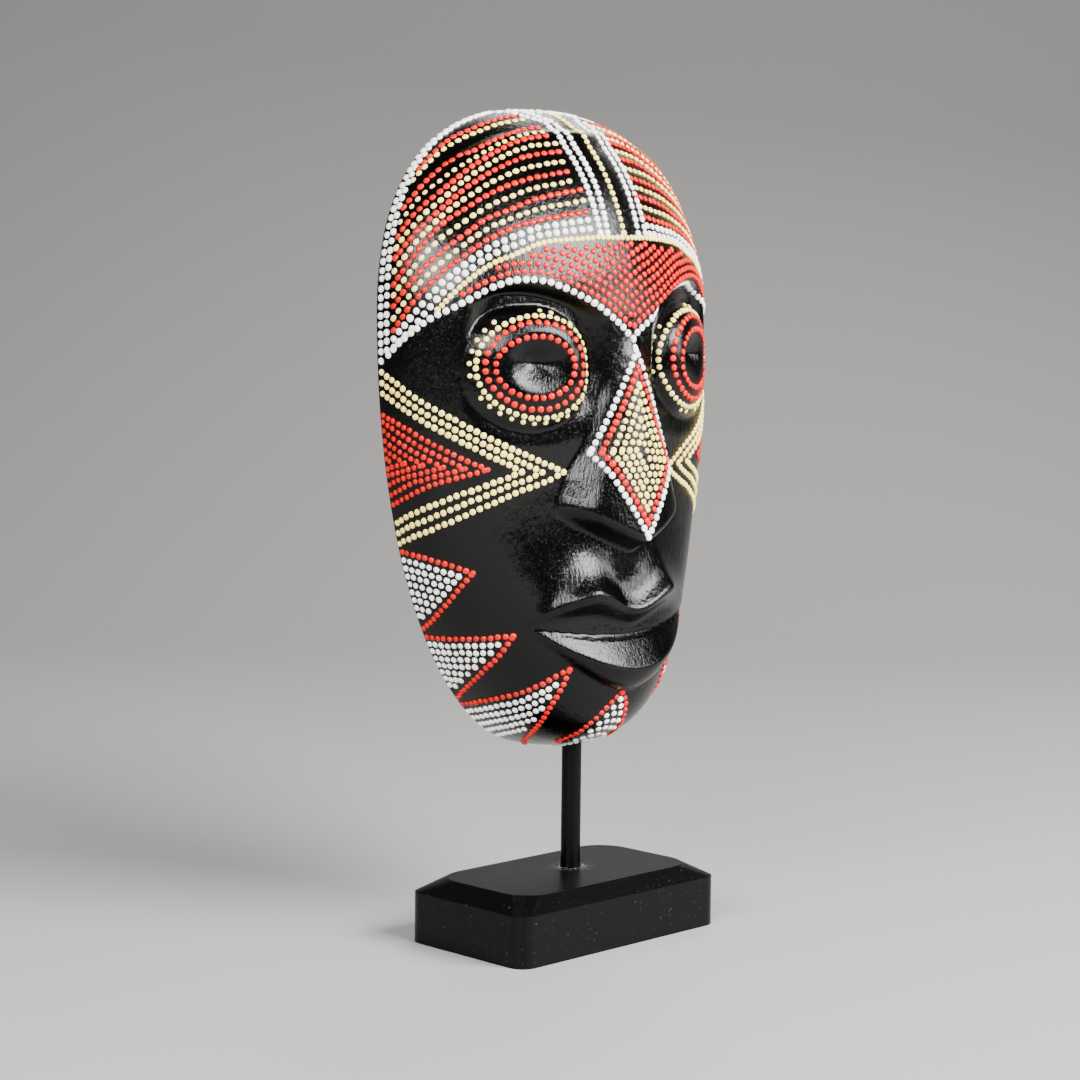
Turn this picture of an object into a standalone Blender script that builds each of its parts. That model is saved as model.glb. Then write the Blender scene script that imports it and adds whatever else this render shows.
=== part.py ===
# Carved face mask on a rod and block stand. Sizes in metres, Z up, the face looks along -Y.
# The origin is on the table, straight under the rod.
import math

import bmesh
import bpy
import numpy as np

# rod and its two seats
rodRadius = 0.0047
rodClearance = 0.0003
rodInBlock = 0.0155
rodInChin = 0.0273
rodEndChamfer = 0.0006
rodSides = 32

# block of the stand
blockWidth = 0.133
blockDepth = 0.076
blockHeight = 0.030
blockCornerRadius = 0.008
blockTopDrop = 0.0065
blockTopSideInset = 0.0070
blockTopEndInset = 0.0095
blockTopCornerRadius = 0.016
blockCentreX = -0.0064
blockCentreY = -0.0039
blockTurn = math.radians(2.8)
cornerSteps = 8

# outline of the mask, seen from the front
rimPlaneY = 0.025
maskMiddleZ = 0.2857
maskHalfWidth = 0.0948
maskHeightAbove = 0.1024
maskHeightBelow = 0.1990
outlineSquarenessAbove = 2.50
outlineSquarenessBelow = 2.12
maskLean = math.radians(1.7)
maskPivotZ = 0.084

# how far the middle of the face stands off the rim plane, from station to station
# going up: the lowest station is at the chin edge, the steps lead to the next ones
chinEdgeZ = 0.084
stepToChin = 0.026
stepToMouth = 0.040
stepToCheek = 0.050
stepToEye = 0.050
stepToBrow = 0.050
stepToForehead = 0.045
stepToCrown = 0.043
depthChinEdge = 0.0800
depthChin = 0.0722
depthMouth = 0.0668
depthCheek = 0.0660
depthEye = 0.0669
depthBrow = 0.0689
depthForehead = 0.0699
depthCrown = 0.0704
# how full the cross section is at the same stations, 2 is an ellipse and 1 is pointed
fullChinEdge = 2.30
fullChin = 2.17
fullMouth = 2.10
fullCheek = 2.08
fullEye = 2.00
fullBrow = 1.87
fullForehead = 1.49
fullCrown = 1.05
crownRoundness = 2.0
chinRoundness = 9.0
reliefRimFade = 0.012

# brow line and the sunk field under it
browApexX = 0.053
browApexZ = 0.3075
browInnerDrop = 0.026
browOuterDrop = 0.034
browInnerPower = 1.9
browOuterPower = 2.5
socketX = 0.0455
socketZ = 0.2680
socketHalfWidth = 0.0310
socketSquareness = 2.8
socketHalfHeightLow = 0.0330
socketHalfHeightHigh = 0.0520
socketDepth = 0.0090
socketEdge = 0.0060
socketFlatShare = 0.70
socketEndShare = 1.08
socketShallowZ = 0.240
socketDeepZ = 0.275
socketShallowShare = 0.25

# the round eye with its dished middle
eyeX = 0.0495
eyeZ = 0.2690
eyeHalfWidth = 0.0285
eyeHalfHeight = 0.0278
eyeHeight = 0.0042
eyeSquareness = 2.2
eyeEdgePower = 3.0
eyeTilt = 0.060
eyeRiseLeft = 0.0015
eyeDishReach = 0.60
eyeDishDepth = 0.0080

# nose: half widths at four heights, and the share of each that is the broad front
noseRootZ = 0.283
noseBridgeZ = 0.240
noseFlareZ = 0.219
noseWingZ = 0.206
noseRootHalfWidth = 0.0055
noseBridgeHalfWidth = 0.0235
noseFlareHalfWidth = 0.0335
noseWingHalfWidth = 0.0370
noseFrontAtRoot = 0.42
noseFrontAtBridge = 0.46
noseFrontAtFlare = 0.61
noseFrontAtWing = 0.66
noseShoulder = 0.20
noseFacetBlend = 0.045
noseTipZ = 0.1875
noseTipHeight = 0.0125
noseLowerEdgeRise = 0.0190
noseLowerEdgeReach = 0.038
noseEdgeSoftness = 0.0065
noseRootSoftness = 0.018
cheekHollowDepth = 0.0050
cheekHollowX = 0.0380
cheekHollowZ = 0.2080
cheekHollowHalfWidth = 0.0330
cheekHollowHalfHeight = 0.0400

# crests from the lip up to the nose, with a wide groove between them
crestRightX = -0.0250
crestLeftX = 0.0215
crestInnerRight = 0.0150
crestInnerLeft = 0.0200
crestOuter = 0.0140
crestRightPointedness = 1.8
crestLeftPointedness = 1.4
crestNarrowing = 0.45
crestHeight = 0.0112
crestLowZ = 0.147
crestHighZ = 0.189

# mouth
mouthHalfWidth = 0.0490
lipPeakX = 0.0240
lipPeakZ = 0.1665
lipDipZ = 0.1572
lipCornerZ = 0.1530
lipHeight = 0.0036
lipRollUp = 0.0050
lipTuckShare = 0.62
lipMinimumGap = 0.001
slitZ = 0.1447
slitRise = 0.0063
slitDepth = 0.0014
slitShare = 0.10
lowerLipZ = 0.1190
lowerLipRise = 0.0325
lowerLipFacet = 0.0084
lowerLipFront = 0.0092
lowerLipFacetShare = 0.58
lowerLipFacetSpread = 0.30
lowerLipBlend = 0.00056

# carved edge that runs round the crown
crownEdgeAt = 0.887
crownEdgeRise = 0.080
crownEdgeReachX = 0.085
crownEdgeHeight = 0.0020
crownEdgeSoftness = 0.020
crownEdgeLowZ = 0.315
crownEdgeFullZ = 0.350

# hollow back, by the wood left round it
rimWall = 0.0123
crownWall = 0.0134
chinWall = 0.0440
faceWall = 0.0190
hollowFullness = 2.3
hollowOvershoot = 0.006
holeOvershoot = 0.015

# facets
faceRows = 66
faceColumns = 58
hollowRows = 20
hollowColumns = 20
rowsAtFeatures = 0.7
featureRowsLowZ = 0.119
featureRowsHighZ = 0.312
featureRowsBlend = 0.022

# heights that follow from the sizes above
maskBottomZ = maskMiddleZ - maskHeightBelow
rodFootZ = blockHeight - rodInBlock
rodTopZ = maskBottomZ + rodInChin
hollowHalfWidth = maskHalfWidth - rimWall
hollowHeightAbove = maskHeightAbove - crownWall
hollowHeightBelow = maskHeightBelow - chinWall
hollowDepth = depthEye - faceWall

for leftover in list(bpy.data.objects):
    bpy.data.objects.remove(leftover, do_unlink=True)

partsCollection = bpy.data.collections.new("wooden_mask_on_stand")
bpy.context.scene.collection.children.link(partsCollection)
cutterCollection = bpy.data.collections.new("cutters")
bpy.context.scene.collection.children.link(cutterCollection)


def smooth(low, high, value):
    t = np.clip((value - low) / (high - low), 0.0, 1.0)
    return t * t * (3.0 - 2.0 * t)


def throughStations(z, stations, values):
    # smooth curve through the values given at the stations
    stations = np.array(stations)
    values = np.array(values)
    z = np.clip(z, stations[0], stations[-1])
    i = np.clip(np.searchsorted(stations, z) - 1, 0, len(stations) - 2)
    step = stations[i + 1] - stations[i]
    t = (z - stations[i]) / step
    slope = np.gradient(values, stations)
    start = (2 * t**3 - 3 * t**2 + 1) * values[i] + (t**3 - 2 * t**2 + t) * step * slope[i]
    end = (-2 * t**3 + 3 * t**2) * values[i + 1] + (t**3 - t**2) * step * slope[i + 1]
    return start + end


stationHeights = chinEdgeZ + np.cumsum([0.0, stepToChin, stepToMouth, stepToCheek, stepToEye,
                                        stepToBrow, stepToForehead, stepToCrown])
stationDepths = [depthChinEdge, depthChin, depthMouth, depthCheek,
                 depthEye, depthBrow, depthForehead, depthCrown]
stationFullness = [fullChinEdge, fullChin, fullMouth, fullCheek,
                   fullEye, fullBrow, fullForehead, fullCrown]


def outlineHalfWidth(z):
    # half of an egg made of two superellipses that meet at the widest height
    up = z > maskMiddleZ
    power = np.where(up, outlineSquarenessAbove, outlineSquarenessBelow)
    reach = np.where(up, maskHeightAbove, maskHeightBelow)
    rest = 1.0 - (np.abs(z - maskMiddleZ) / reach) ** power
    return maskHalfWidth * np.clip(rest, 0.0, 1.0) ** (1.0 / power)


def domeDepth(x, z):
    # plain form of the face: middle depth at this height times the cross section
    rise = np.clip((z - maskMiddleZ) / maskHeightAbove, 0.0, 1.0)
    fall = np.clip((maskMiddleZ - z) / maskHeightBelow, 0.0, 1.0)
    closing = np.sqrt(np.clip(1.0 - rise**crownRoundness - fall**chinRoundness, 0.0, 1.0))
    middle = throughStations(z, stationHeights, stationDepths) * closing
    fullness = throughStations(z, stationHeights, stationFullness)
    across = np.clip(np.abs(x) / np.maximum(outlineHalfWidth(z), 1e-9), 0.0, 1.0)
    return middle * np.sqrt(np.clip(1.0 - across**fullness, 0.0, 1.0))


def browLineZ(side):
    inner = np.clip((browApexX - side) / browApexX, 0.0, 1.0) ** browInnerPower
    outer = np.clip((side - browApexX) / (maskHalfWidth - browApexX), 0.0, 1.0) ** browOuterPower
    return browApexZ - browInnerDrop * inner - browOuterDrop * outer


def lowerOf(first, second, blend):
    # the lower of two heights, with a soft change from one to the other
    least = np.minimum(first, second)
    return least - blend * np.log(np.exp((least - first) / blend) + np.exp((least - second) / blend))


def reliefHeight(x, z):
    # carving measured off the plain form, nearly the same on both sides
    side = np.abs(x)
    isLeft = x > 0.0

    # cheeks sink a little beside the nose
    hollow = ((side - cheekHollowX) / cheekHollowHalfWidth) ** 2
    hollow = hollow + ((z - cheekHollowZ) / cheekHollowHalfHeight) ** 2
    height = -cheekHollowDepth * np.exp(-1.6 * hollow**1.5)

    # carved edge of the crown
    spread = (side / maskHalfWidth) ** outlineSquarenessAbove
    spread = spread + np.clip((z - maskMiddleZ) / maskHeightAbove, 0.0, 1.0) ** outlineSquarenessAbove
    spread = spread ** (1.0 / outlineSquarenessAbove)
    edgeAt = crownEdgeAt + crownEdgeRise * (side / crownEdgeReachX) ** 1.5
    inside = smooth(-4.0 * crownEdgeSoftness, 0.0, spread - edgeAt)
    outside = smooth(0.0, crownEdgeSoftness, spread - edgeAt)
    height = height + crownEdgeHeight * (inside - outside) * smooth(crownEdgeLowZ, crownEdgeFullZ, z)

    # sunk field between the brow line and the cheek, a little higher on the left side
    zEye = z - np.where(isLeft, eyeRiseLeft, 0.0) * smooth(eyeX - eyeHalfWidth, eyeX, side)
    vertical = np.where(zEye > socketZ, socketHalfHeightHigh, socketHalfHeightLow)
    field = (np.abs(side - socketX) / socketHalfWidth) ** socketSquareness
    field = (field + (np.abs(zEye - socketZ) / vertical) ** socketSquareness) ** (1.0 / socketSquareness)
    inField = 1.0 - smooth(socketFlatShare, socketEndShare, field)
    underBrow = smooth(0.0, socketEdge, browLineZ(side) - zEye)
    lessBelow = socketShallowShare + (1.0 - socketShallowShare) * smooth(socketShallowZ, socketDeepZ, z)
    height = height - socketDepth * inField * underBrow * lessBelow

    # eye: rises from the sunk field, rolls over at its edge and is dished in the middle
    eye = (np.abs(side - eyeX) / eyeHalfWidth) ** eyeSquareness
    eye = eye + (np.abs(zEye - eyeZ) / eyeHalfHeight) ** eyeSquareness
    eye = np.clip(eye ** (1.0 / eyeSquareness), 0.0, 1.0)
    ball = np.sqrt(1.0 - eye**eyeEdgePower)
    dish = eyeDishDepth * (1.0 - smooth(0.0, eyeDishReach, eye) ** 0.8)
    top = eyeHeight + eyeTilt * (eyeX - side) - dish
    height = height + ball * (top - height)

    # nose: a broad front between two flat flanks, cut off below along a shallow vee
    noseHeights = [noseWingZ, noseFlareZ, noseBridgeZ, noseRootZ]
    halfWidth = np.interp(z, noseHeights, [noseWingHalfWidth, noseFlareHalfWidth,
                                           noseBridgeHalfWidth, noseRootHalfWidth])
    frontShare = np.interp(z, noseHeights, [noseFrontAtWing, noseFrontAtFlare,
                                            noseFrontAtBridge, noseFrontAtRoot])
    ridge = noseTipHeight * np.clip((noseRootZ - z) / (noseRootZ - noseTipZ), 0.0, 1.0) ** 0.6
    across = np.clip(side / halfWidth, 0.0, 1.0)
    front = 1.0 - noseShoulder * (across / frontShare) ** 1.7
    flank = (1.0 - noseShoulder) * (1.0 - across) / (1.0 - frontShare)
    nose = (ridge - height) * np.clip(lowerOf(front, flank, noseFacetBlend), 0.0, 1.0)
    lowerEdge = noseTipZ + noseLowerEdgeRise * (side / noseLowerEdgeReach) ** 1.25
    above = 1.0 - (1.0 - np.clip((z - lowerEdge) / noseEdgeSoftness + 0.45, 0.0, 1.0)) ** 1.9
    begin = smooth(-0.44 * noseRootSoftness, 0.56 * noseRootSoftness, noseRootZ - z)
    height = height + nose * above * begin

    # crests over the lip peaks
    upward = np.clip((z - crestLowZ) / (crestHighZ - crestLowZ), 0.0, 1.0)
    narrowed = 1.0 - crestNarrowing * upward
    spreadRight = narrowed * np.where(x > crestRightX, crestInnerRight, crestOuter)
    spreadLeft = narrowed * np.where(x < crestLeftX, crestInnerLeft, crestOuter)
    crest = np.maximum(np.exp(-((np.abs(x - crestRightX) / spreadRight) ** crestRightPointedness)),
                       np.exp(-((np.abs(x - crestLeftX) / spreadLeft) ** crestLeftPointedness)))
    crest = crestHeight * crest * (1.0 - smooth(0.0, 1.0, upward)) * (1.0 - above)

    # lips: the upper one ends in an edge and draws in below it, the lower one swells under the slit
    reach = np.clip(1.0 - (side / mouthHalfWidth) ** 2.4, 0.0, 1.0)
    toPeak = smooth(0.0, lipPeakX, side)
    toCorner = np.clip((side - lipPeakX) / (mouthHalfWidth - lipPeakX), 0.0, 1.0) ** 1.6
    upperEdge = lipDipZ + (lipPeakZ - lipDipZ) * toPeak - (lipPeakZ - lipCornerZ) * toCorner
    slit = slitZ + slitRise * (side / mouthHalfWidth) ** 2
    upperEdge = np.maximum(upperEdge, slit + lipMinimumGap)
    lowestZ = lowerLipZ + lowerLipRise * np.clip(side / mouthHalfWidth, 0.0, 1.0) ** 1.7
    lowestZ = np.minimum(lowestZ, slit - lipMinimumGap)
    overLip = np.exp(-(np.clip((z - upperEdge) / lipRollUp, 0.0, 9.0) ** 1.5))
    edgeHeight = crest + lipHeight * overLip * reach
    tuck = smooth(0.0, lipTuckShare, np.clip((upperEdge - z) / (upperEdge - slit), 0.0, 1.0))
    upperLip = edgeHeight - (slitDepth * reach + edgeHeight) * tuck
    down = np.clip((slit - z) / (slit - lowestZ), 0.0, 1.0)
    facetShare = lowerLipFacetShare + lowerLipFacetSpread * np.clip(side / mouthHalfWidth, 0.0, 1.0) ** 2
    facet = lowerLipFacet * down / facetShare
    rounded = lowerLipFront * np.clip(1.0 - down**3.2, 0.0, 1.0) ** 0.55
    lowerLip = np.maximum(lowerOf(facet, rounded, lowerLipBlend), 0.0)
    lowerLip = np.where(down < 1.0, lowerLip, 0.0) - slitDepth * (1.0 - smooth(0.0, slitShare, down))
    return height + np.where(z > slit, upperLip, lowerLip * reach)


def maskDepth(x, z):
    plain = domeDepth(x, z)
    return plain + reliefHeight(x, z) * smooth(0.0, reliefRimFade, plain)


def leaned(x, y, z):
    # the whole mask leans slightly in its own plane on the rod
    c = math.cos(maskLean)
    s = math.sin(maskLean)
    up = z - maskPivotZ
    return np.stack([c * x - s * up, y, s * x + c * up + maskPivotZ], axis=-1)


def bowlObject(name, collection, heights, halfWidthAt, depthAt, columns, backY):
    # closed bowl: rows across the face from one side edge to the other, an end point
    # below and above, and one flat back
    turn = np.linspace(-0.5 * math.pi, 0.5 * math.pi, columns + 1)
    z = np.repeat(heights[1:-1, None], columns + 1, axis=1)
    x = halfWidthAt(z) * np.sin(turn)[None, :]
    y = rimPlaneY - depthAt(x, z)
    rows = leaned(x, y, z)
    ends = leaned(np.zeros(2), np.full(2, rimPlaneY), heights[[0, -1]])
    rowCount = len(heights) - 2
    across = columns + 1
    vertices = [tuple(p) for p in rows.reshape(-1, 3)] + [tuple(p) for p in ends]
    bottom = rowCount * across
    top = bottom + 1
    faces = []
    for r in range(rowCount - 1):
        for c in range(columns):
            a = r * across + c
            faces.append((a, a + 1, a + 1 + across, a + across))
    for c in range(columns):
        faces.append((bottom, c + 1, c))
        a = (rowCount - 1) * across + c
        faces.append((top, a, a + 1))
    left = [r * across for r in range(rowCount)]
    right = [r * across + columns for r in range(rowCount)]
    loop = [bottom] + left + [top] + right[::-1]
    if backY > rimPlaneY:
        # carry the edge straight back before closing it
        first = len(vertices)
        for v in loop:
            vertices.append((vertices[v][0], backY, vertices[v][2]))
        count = len(loop)
        for k in range(count):
            n = (k + 1) % count
            faces.append((loop[k], loop[n], first + n, first + k))
        loop = [first + k for k in range(count)]
    faces.append(tuple(loop[::-1]))
    mesh = bpy.data.meshes.new(name)
    mesh.from_pydata(vertices, [], faces)
    work = bmesh.new()
    work.from_mesh(mesh)
    bmesh.ops.triangulate(work, faces=[f for f in work.faces if len(f.verts) == 4])
    bmesh.ops.recalc_face_normals(work, faces=work.faces)
    for face in work.faces:
        face.smooth = len(face.verts) == 3
    work.to_mesh(mesh)
    work.free()
    shape = bpy.data.objects.new(name, mesh)
    collection.objects.link(shape)
    return shape


def roundBar(name, collection, radius, lowZ, highZ):
    # upright cylinder on the axis of the rod
    bpy.ops.mesh.primitive_cylinder_add(vertices=rodSides, radius=radius, depth=highZ - lowZ,
                                        location=(0.0, 0.0, 0.5 * (lowZ + highZ)))
    shape = bpy.context.object
    shape.name = name
    shape.data.name = name
    for old in list(shape.users_collection):
        old.objects.unlink(shape)
    collection.objects.link(shape)
    return shape


def cutWith(shape, cutter):
    cutter.hide_render = True
    cutter.display_type = "WIRE"
    cut = shape.modifiers.new("cut_" + cutter.name, "BOOLEAN")
    cut.operation = "DIFFERENCE"
    cut.solver = "EXACT"
    cut.object = cutter


def paint(shape, name, colour, roughness):
    material = bpy.data.materials.new(name)
    material.use_nodes = True
    shader = material.node_tree.nodes["Principled BSDF"]
    shader.inputs["Base Color"].default_value = (*colour, 1.0)
    shader.inputs["Roughness"].default_value = roughness
    shader.inputs["Metallic"].default_value = 0.0
    shape.data.materials.append(material)


# heights of the rows: close together at both ends and over the features
rowAt = np.linspace(0.0, 1.0, 400)
rowTurn = math.pi * (rowAt - 0.5)
rowReach = np.where(rowTurn > 0.0, maskHeightAbove, maskHeightBelow)
rowZ = 0.5 * (maskMiddleZ + rowReach * np.sin(rowTurn))
rowZ = rowZ + 0.5 * (maskBottomZ + rowAt * (maskHeightAbove + maskHeightBelow))
halfBlend = 0.5 * featureRowsBlend
overFeatures = smooth(featureRowsLowZ - halfBlend, featureRowsLowZ + halfBlend, rowZ)
overFeatures = overFeatures - smooth(featureRowsHighZ - halfBlend, featureRowsHighZ + halfBlend, rowZ)
rowDensity = 1.0 + rowsAtFeatures * overFeatures
rowShare = np.cumsum(rowDensity) - rowDensity[0]
rowShare = rowShare / rowShare[-1]
faceHeights = np.interp(np.linspace(0.0, 1.0, faceRows + 1), rowShare, rowZ)

mask = bowlObject("mask", partsCollection, faceHeights, outlineHalfWidth,
                  maskDepth, faceColumns, rimPlaneY)


def hollowHalfWidthAt(z):
    # the hollow repeats the outline of the mask, smaller all round
    up = z > maskMiddleZ
    power = np.where(up, outlineSquarenessAbove, outlineSquarenessBelow)
    reach = np.where(up, hollowHeightAbove, hollowHeightBelow)
    rest = 1.0 - (np.abs(z - maskMiddleZ) / reach) ** power
    return hollowHalfWidth * np.clip(rest, 0.0, 1.0) ** (1.0 / power)


def hollowDepthAt(x, z):
    up = np.where(z > maskMiddleZ, hollowHeightAbove, hollowHeightBelow)
    along = np.clip(np.abs(z - maskMiddleZ) / up, 0.0, 1.0)
    across = np.clip(np.abs(x) / np.maximum(hollowHalfWidthAt(z), 1e-9), 0.0, 1.0)
    middle = np.sqrt(np.clip(1.0 - along**hollowFullness, 0.0, 1.0))
    section = np.sqrt(np.clip(1.0 - across**hollowFullness, 0.0, 1.0))
    return hollowDepth * middle * section


hollowTurn = np.linspace(-0.5 * math.pi, 0.5 * math.pi, hollowRows + 1)
hollowReach = np.where(hollowTurn > 0.0, hollowHeightAbove, hollowHeightBelow)
hollowHeights = maskMiddleZ + hollowReach * np.sin(hollowTurn)
hollow = bowlObject("hollow", cutterCollection, hollowHeights, hollowHalfWidthAt,
                    hollowDepthAt, hollowColumns, rimPlaneY + hollowOvershoot)
cutWith(mask, hollow)

# upright hole in the chin for the top of the rod
chinHole = roundBar("chin_hole", cutterCollection, rodRadius + rodClearance,
                    maskBottomZ - holeOvershoot, rodTopZ + rodClearance)
cutWith(mask, chinHole)

rod = roundBar("rod", partsCollection, rodRadius, rodFootZ, rodTopZ)
rodEnds = rod.modifiers.new("end_chamfers", "BEVEL")
rodEnds.width = rodEndChamfer
rodEnds.segments = 1
rodEnds.limit_method = "ANGLE"
rod.data.shade_smooth()
rod.data.set_sharp_from_angle(angle=math.radians(40.0))

# block: rounded box whose top band slopes in to a smaller outline with wider corners
def roundedRing(width, depth, radius, z):
    ring = []
    for corner, (signX, signY) in enumerate(((1, 1), (-1, 1), (-1, -1), (1, -1))):
        for k in range(cornerSteps + 1):
            a = 0.5 * math.pi * (corner + k / cornerSteps)
            ring.append((signX * (0.5 * width - radius) + radius * math.cos(a),
                         signY * (0.5 * depth - radius) + radius * math.sin(a), z))
    return ring


topWidth = blockWidth - 2.0 * blockTopEndInset
topDepth = blockDepth - 2.0 * blockTopSideInset
rings = [roundedRing(blockWidth, blockDepth, blockCornerRadius, 0.0),
         roundedRing(blockWidth, blockDepth, blockCornerRadius, blockHeight - blockTopDrop),
         roundedRing(topWidth, topDepth, blockTopCornerRadius, blockHeight)]
ringCount = len(rings[0])
blockFaces = [tuple(range(ringCount))[::-1], tuple(range(2 * ringCount, 3 * ringCount))]
for level in range(2):
    for k in range(ringCount):
        a = level * ringCount + k
        b = level * ringCount + (k + 1) % ringCount
        if level == 0:
            blockFaces.append((a, b, b + ringCount, a + ringCount))
        else:
            blockFaces.extend([(a, b, b + ringCount), (a, b + ringCount, a + ringCount)])
blockMesh = bpy.data.meshes.new("base")
blockMesh.from_pydata([p for ring in rings for p in ring], [], blockFaces)
blockMesh.update()
base = bpy.data.objects.new("base", blockMesh)
partsCollection.objects.link(base)
base.location = (blockCentreX, blockCentreY, 0.0)
base.rotation_euler = (0.0, 0.0, blockTurn)
base.data.shade_smooth()
base.data.set_sharp_from_angle(angle=math.radians(30.0))
baseHole = roundBar("base_hole", cutterCollection, rodRadius + rodClearance,
                    rodFootZ - rodClearance, blockHeight + holeOvershoot)
cutWith(base, baseHole)

paint(mask, "black_lacquered_wood", (0.012, 0.011, 0.011), 0.22)
paint(rod, "black_painted_rod", (0.013, 0.013, 0.014), 0.38)
paint(base, "black_painted_block", (0.015, 0.014, 0.014), 0.42)
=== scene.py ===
import math

import bpy
import numpy as np
from mathutils import Matrix, Vector


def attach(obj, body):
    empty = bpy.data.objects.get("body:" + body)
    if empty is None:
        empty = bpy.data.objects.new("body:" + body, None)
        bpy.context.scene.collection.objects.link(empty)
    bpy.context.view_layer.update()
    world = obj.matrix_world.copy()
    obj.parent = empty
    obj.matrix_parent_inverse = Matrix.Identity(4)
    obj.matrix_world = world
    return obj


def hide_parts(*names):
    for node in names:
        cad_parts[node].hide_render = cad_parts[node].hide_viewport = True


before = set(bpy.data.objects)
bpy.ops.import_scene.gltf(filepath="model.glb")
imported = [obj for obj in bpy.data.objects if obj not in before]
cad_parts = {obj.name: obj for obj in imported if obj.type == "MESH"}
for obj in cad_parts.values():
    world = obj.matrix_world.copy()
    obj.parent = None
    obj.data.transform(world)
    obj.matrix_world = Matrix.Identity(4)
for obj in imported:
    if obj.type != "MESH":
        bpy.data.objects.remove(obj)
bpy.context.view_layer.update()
print("frame loaded")


class Number:
    # a number in a node tree, so that shader sums read as plain arithmetic
    def __init__(self, graph, socket):
        self.graph = graph
        self.socket = socket

    def __add__(self, other):
        return self.graph.maths("ADD", self, other)

    def __radd__(self, other):
        return self.graph.maths("ADD", other, self)

    def __sub__(self, other):
        return self.graph.maths("SUBTRACT", self, other)

    def __rsub__(self, other):
        return self.graph.maths("SUBTRACT", other, self)

    def __mul__(self, other):
        return self.graph.maths("MULTIPLY", self, other)

    def __rmul__(self, other):
        return self.graph.maths("MULTIPLY", other, self)


class Graph:
    # one material and the nodes in it
    def __init__(self, name):
        self.material = bpy.data.materials.new(name)
        self.material.use_nodes = True
        self.tree = self.material.node_tree
        self.shader = self.tree.nodes["Principled BSDF"]

    def put(self, value, socket):
        # links a number or a socket, writes a plain value
        if isinstance(value, Number):
            self.tree.links.new(value.socket, socket)
        elif isinstance(value, bpy.types.NodeSocket):
            self.tree.links.new(value, socket)
        else:
            socket.default_value = value

    def node(self, kind, settings, inputs):
        # any node from its type, its settings and the values or links of its sockets
        made = self.tree.nodes.new(kind)
        for key, value in settings.items():
            setattr(made, key, value)
        for key, value in inputs.items():
            self.put(value, made.inputs[key])
        return made

    def maths(self, operation, *values):
        # one sum of two numbers or values
        made = self.node("ShaderNodeMath", {"operation": operation}, dict(enumerate(values)))
        return Number(self, made.outputs[0])

    def step(self, value, low, high):
        # 0 below low and 1 above high, smooth between them
        made = self.node("ShaderNodeMapRange", {"interpolation_type": "SMOOTHSTEP"},
                         {"Value": value, "From Min": low, "From Max": high})
        return Number(self, made.outputs["Result"])

    def place(self, stretch):
        # object coordinates, stretched along the axes
        start = self.node("ShaderNodeTexCoord", {}, {})
        made = self.node("ShaderNodeMapping", {}, {"Vector": start.outputs["Object"], "Scale": stretch})
        return made.outputs["Vector"]

    def noise(self, place, scale, detail=3.0, roughness=0.5):
        # cloudy values between 0 and 1, scale in waves a metre
        made = self.node("ShaderNodeTexNoise", {},
                         {"Vector": place, "Scale": scale, "Detail": detail, "Roughness": roughness})
        return Number(self, made.outputs["Fac"])

    def away(self, centre):
        # distance from a point given in object coordinates, heights left out
        made = self.node("ShaderNodeVectorMath", {"operation": "DISTANCE"},
                         {0: self.place((1.0, 1.0, 0.0)), 1: centre})
        return Number(self, made.outputs["Value"])

    def mix(self, share, first, second):
        # first colour at share 0, second at 1
        made = self.node("ShaderNodeMix", {"data_type": "RGBA"}, {})
        self.put(share, made.inputs[0])
        self.put(first, made.inputs[6])
        self.put(second, made.inputs[7])
        return made.outputs[2]

    def bump(self, height, distance, strength=1.0):
        # heights of 0 to 1 stand for 0 to distance in metres
        made = self.node("ShaderNodeBump", {},
                         {"Height": height, "Distance": distance, "Strength": strength})
        return made.outputs["Normal"]

    def finish(self, **inputs):
        # sockets of the shader by name, an underscore for each space
        for key, value in inputs.items():
            self.put(value, self.shader.inputs[key.replace("_", " ")])
        return self.material


def smooth(low, high, value):
    # 0 below low, 1 above high, 3 t squared less 2 t cubed between them
    t = np.clip((value - low) / (high - low), 0.0, 1.0)
    return t * t * (3.0 - 2.0 * t)


def makePiece(name, points, faceGroups, tones=None):
    # mesh object from an array of points and arrays of faces, tones is one value a point
    mesh = bpy.data.meshes.new(name)
    mesh.from_pydata(points.tolist(), [], [corners for group in faceGroups for corners in group.tolist()])
    mesh.polygons.foreach_set("use_smooth", np.ones(len(mesh.polygons), bool))
    if tones is not None:
        mesh.attributes.new("tone", "FLOAT", "POINT").data.foreach_set("value", tones.astype(np.float32))
    mesh.update()
    piece = bpy.data.objects.new(name, mesh)
    bpy.context.scene.collection.objects.link(piece)
    return piece


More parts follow.
